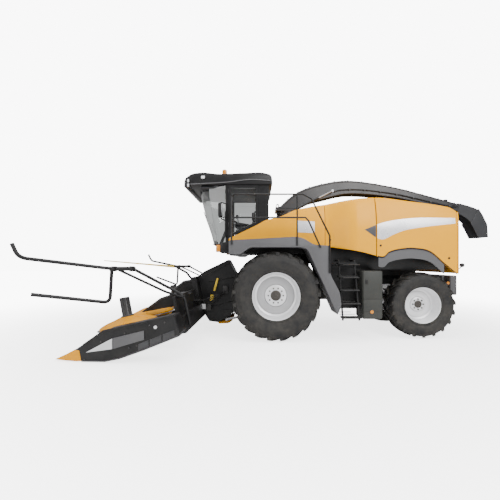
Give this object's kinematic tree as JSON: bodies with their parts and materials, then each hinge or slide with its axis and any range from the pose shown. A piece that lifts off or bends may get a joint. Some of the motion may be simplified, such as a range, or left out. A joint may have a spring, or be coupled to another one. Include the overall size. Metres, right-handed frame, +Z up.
{
  "type": "self-propelled forage harvester with rotary row-crop header",
  "caption": "Self-propelled forage harvester: glazed cab, crop spout folded back over the body, and a wide rotary row-crop header lowered in front.",
  "frame": {"origin": "on the ground, at the middle of the machine's footprint", "axes": "+X forward towards the header, +Y to the machine's left, +Z up"},
  "size_m": [9.6758, 6.4458, 3.8],
  "materials": {
    "body_yellow": "gloss enamel",
    "rotor_yellow": "satin enamel, polished by crop",
    "chassis_black": "satin black enamel",
    "platform_grey": "satin moulded grey",
    "axle_grey": "painted casting",
    "spout_grey": "satin dark grey enamel",
    "locker_grey": "grained moulding",
    "bare_steel": "ground",
    "rim_silver": "silver enamel",
    "tyre_rubber": "matt rubber",
    "cab_glass": "lightly tinted",
    "seat_fabric": "woven dark cloth"
  },
  "bodies": {
    "chassis": {"main_frame": "chassis_black", "cutterhead_housing": "chassis_black", "engine_block": "axle_grey", "front_axle": "axle_grey", "rear_axle": "axle_grey", "cab_frame": "chassis_black", "cab_roof": "chassis_black", "windscreen": "cab_glass", "right_window": "cab_glass", "rear_window": "cab_glass", "driver_seat": "seat_fabric", "left_front_panel": "body_yellow", "right_front_panel": "body_yellow", "hood_top": "body_yellow", "rear_panel": "body_yellow", "left_fender": "platform_grey", "right_fender": "platform_grey", "left_handrail": "chassis_black", "boarding_ladder": "chassis_black", "left_skirt": "chassis_black", "right_skirt": "chassis_black", "left_locker": "locker_grey", "right_locker": "locker_grey", "rear_weight": "platform_grey"},
    "left_front_wheel": {"left_front_rim": "rim_silver", "left_front_tyre": "tyre_rubber"},
    "right_front_wheel": {"right_front_rim": "rim_silver", "right_front_tyre": "tyre_rubber"},
    "left_steering_knuckle": {"left_knuckle": "bare_steel"},
    "left_rear_wheel": {"left_rear_rim": "rim_silver", "left_rear_tyre": "tyre_rubber"},
    "right_steering_knuckle": {"right_knuckle": "bare_steel"},
    "right_rear_wheel": {"right_rear_rim": "rim_silver", "right_rear_tyre": "tyre_rubber"},
    "cab_door": {"cab_door": "chassis_black", "door_glass": "cab_glass"},
    "left_service_door": {"left_service_door": "body_yellow"},
    "left_engine_door": {"left_engine_door": "body_yellow"},
    "right_service_door": {"right_service_door": "body_yellow"},
    "right_engine_door": {"right_engine_door": "body_yellow"},
    "turret": {"spout_turret": "spout_grey"},
    "spout": {"spout": "spout_grey"},
    "spout_flap": {"spout_flap": "spout_grey"},
    "spout_end_flap": {"spout_end_flap": "spout_grey"},
    "spout_jack_barrel": {"spout_lift_barrel": "chassis_black"},
    "spout_jack_rod": {"spout_lift_rod": "bare_steel"},
    "header": {"feeder_housing": "chassis_black", "header_frame": "chassis_black", "left_divider": "chassis_black", "right_divider": "chassis_black", "left_crop_bar": "chassis_black", "right_crop_bar": "chassis_black"},
    "header_jack_barrels": {"header_lift_barrel": "chassis_black"},
    "header_jack_rods": {"header_lift_rod": "bare_steel"},
    "right_outer_rotor": {"right_outer_rotor": "rotor_yellow"},
    "right_inner_rotor": {"right_inner_rotor": "rotor_yellow"},
    "left_inner_rotor": {"left_inner_rotor": "rotor_yellow"},
    "left_outer_rotor": {"left_outer_rotor": "rotor_yellow"}
  },
  "joints": [
    {"name": "left_front_wheel_spin", "type": "hinge", "parent": "chassis", "child": "left_front_wheel", "pos_m": [0.5275, 1.28, 0.95], "axis": [0, 1, 0], "continuous": true},
    {"name": "right_front_wheel_spin", "type": "hinge", "parent": "chassis", "child": "right_front_wheel", "pos_m": [0.5275, -1.28, 0.95], "axis": [0, 1, 0], "continuous": true},
    {"name": "left_steer", "type": "hinge", "parent": "chassis", "child": "left_steering_knuckle", "pos_m": [-2.6725, 0.72, 0.725], "axis": [0, 0, 1], "range_deg": [-35, 35]},
    {"name": "left_rear_wheel_spin", "type": "hinge", "parent": "left_steering_knuckle", "child": "left_rear_wheel", "pos_m": [-2.6725, 1.02, 0.725], "axis": [0, 1, 0], "continuous": true},
    {"name": "right_steer", "type": "hinge", "parent": "chassis", "child": "right_steering_knuckle", "pos_m": [-2.6725, -0.72, 0.725], "axis": [0, 0, 1], "range_deg": [-35, 35]},
    {"name": "right_rear_wheel_spin", "type": "hinge", "parent": "right_steering_knuckle", "child": "right_rear_wheel", "pos_m": [-2.6725, -1.02, 0.725], "axis": [0, 1, 0], "continuous": true},
    {"name": "cab_door_swing", "type": "hinge", "parent": "chassis", "child": "cab_door", "pos_m": [1.5725, 0.965, 2.8], "axis": [0, 0, -1], "range_deg": [0, 80]},
    {"name": "left_service_door_swing", "type": "hinge", "parent": "chassis", "child": "left_service_door", "pos_m": [-1.6185, 1.362, 2.4], "axis": [0, 0, 1], "range_deg": [0, 80]},
    {"name": "left_engine_door_lift", "type": "hinge", "parent": "chassis", "child": "left_engine_door", "pos_m": [-2.4875, 1.333, 2.98], "axis": [0.9905, 0, 0.1377], "range_deg": [0, 70]},
    {"name": "right_service_door_swing", "type": "hinge", "parent": "chassis", "child": "right_service_door", "pos_m": [-1.6185, -1.362, 2.4], "axis": [0, 0, -1], "range_deg": [0, 80]},
    {"name": "right_engine_door_lift", "type": "hinge", "parent": "chassis", "child": "right_engine_door", "pos_m": [-2.4875, -1.333, 2.98], "axis": [-0.9905, 0, -0.1377], "range_deg": [0, 70]},
    {"name": "spout_slew", "type": "hinge", "parent": "chassis", "child": "turret", "pos_m": [0.1775, 0, 2.7], "axis": [0, 0, 1], "range_deg": [-95, 95]},
    {"name": "spout_lift", "type": "hinge", "parent": "turret", "child": "spout", "pos_m": [0.4275, 0, 3.06], "axis": [0, 1, 0], "range_deg": [0, 30]},
    {"name": "spout_flap_tilt", "type": "hinge", "parent": "spout", "child": "spout_flap", "pos_m": [-4.1125, 0, 3.1], "axis": [0, 1, 0], "range_deg": [-20, 20]},
    {"name": "spout_end_flap_tilt", "type": "hinge", "parent": "spout_flap", "child": "spout_end_flap", "pos_m": [-4.5825, 0, 2.97], "axis": [0, 1, 0], "range_deg": [-28.5, 28.5]},
    {"name": "spout_jack_tilt", "type": "hinge", "parent": "turret", "child": "spout_jack_barrel", "pos_m": [-0.0325, 0.31, 2.965], "axis": [0, 1, 0], "range_deg": [0, 37.5]},
    {"name": "spout_jack_stroke", "type": "slide", "parent": "spout_jack_barrel", "child": "spout_jack_rod", "axis": [-0.8904, 0, 0.4552], "range_m": [0, 0.211]},
    {"name": "header_lift", "type": "hinge", "parent": "chassis", "child": "header", "pos_m": [1.3275, 0, 1], "axis": [0, -1, 0], "range_deg": [0, 22]},
    {"name": "header_jack_tilt", "type": "hinge", "parent": "chassis", "child": "header_jack_barrels", "pos_m": [0.7275, 0, 0.51], "axis": [0, -1, 0], "range_deg": [0, 11.2]},
    {"name": "header_jack_stroke", "type": "slide", "parent": "header_jack_barrels", "child": "header_jack_rods", "axis": [0.9772, 0, -0.2124], "range_m": [0, 0.22]},
    {"name": "right_outer_rotor_spin", "type": "hinge", "parent": "header", "child": "right_outer_rotor", "pos_m": [3.4575, -1.86, 0.42], "axis": [0.1805, 0, 0.9836], "continuous": true},
    {"name": "right_inner_rotor_spin", "type": "hinge", "parent": "header", "child": "right_inner_rotor", "pos_m": [3.4575, -0.62, 0.42], "axis": [0.1805, 0, 0.9836], "continuous": true},
    {"name": "left_inner_rotor_spin", "type": "hinge", "parent": "header", "child": "left_inner_rotor", "pos_m": [3.4575, 0.62, 0.42], "axis": [0.1805, 0, 0.9836], "continuous": true},
    {"name": "left_outer_rotor_spin", "type": "hinge", "parent": "header", "child": "left_outer_rotor", "pos_m": [3.4575, 1.86, 0.42], "axis": [0.1805, 0, 0.9836], "continuous": true}
  ],
  "couplings": [
    {"joint": "right_steer", "follows": "left_steer", "ratio": 1},
    {"joint": "spout_end_flap_tilt", "follows": "spout_flap_tilt", "ratio": 1.4},
    {"joint": "spout_jack_tilt", "follows": "spout_lift", "ratio": 1.2286},
    {"joint": "spout_jack_stroke", "follows": "spout_lift", "m_per_rad": 0.39092},
    {"joint": "header_jack_tilt", "follows": "header_lift", "ratio": 0.49013},
    {"joint": "header_jack_stroke", "follows": "header_lift", "m_per_rad": 0.55753}
  ]
}
